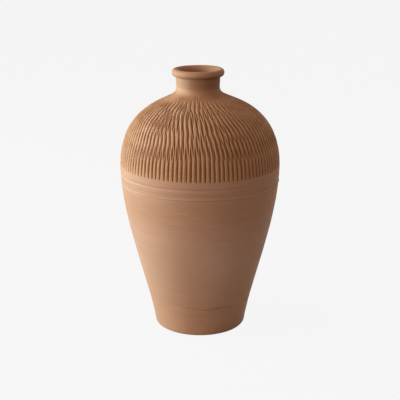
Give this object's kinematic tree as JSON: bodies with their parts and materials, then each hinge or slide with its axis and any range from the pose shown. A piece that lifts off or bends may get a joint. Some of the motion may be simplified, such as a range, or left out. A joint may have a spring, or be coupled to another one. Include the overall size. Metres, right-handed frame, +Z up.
{
  "type": "terracotta urn",
  "caption": "Tall unglazed terracotta urn, open at the top: narrow foot, wide combed shoulder over a grooved band, short neck and rolled rim. Stands on its flat floor and holds stems.",
  "frame": {"origin": "centre of the flat underside, on the ground", "axes": "+Z up the axis of the body, -Y towards the viewer of the picture, +X to the viewer's right"},
  "size_m": [0.242, 0.242, 0.3999],
  "materials": {
    "terracotta": "matte, unglazed",
    "combed_terracotta": "matte, unglazed, combed"
  },
  "bodies": {
    "root": {"floor_disc": "terracotta", "foot_wall": "terracotta", "lower_wall": "terracotta", "upper_wall": "terracotta", "belly_band": "terracotta", "shoulder": "combed_terracotta", "neck": "terracotta", "rolled_rim": "terracotta"}
  },
  "joints": []
}
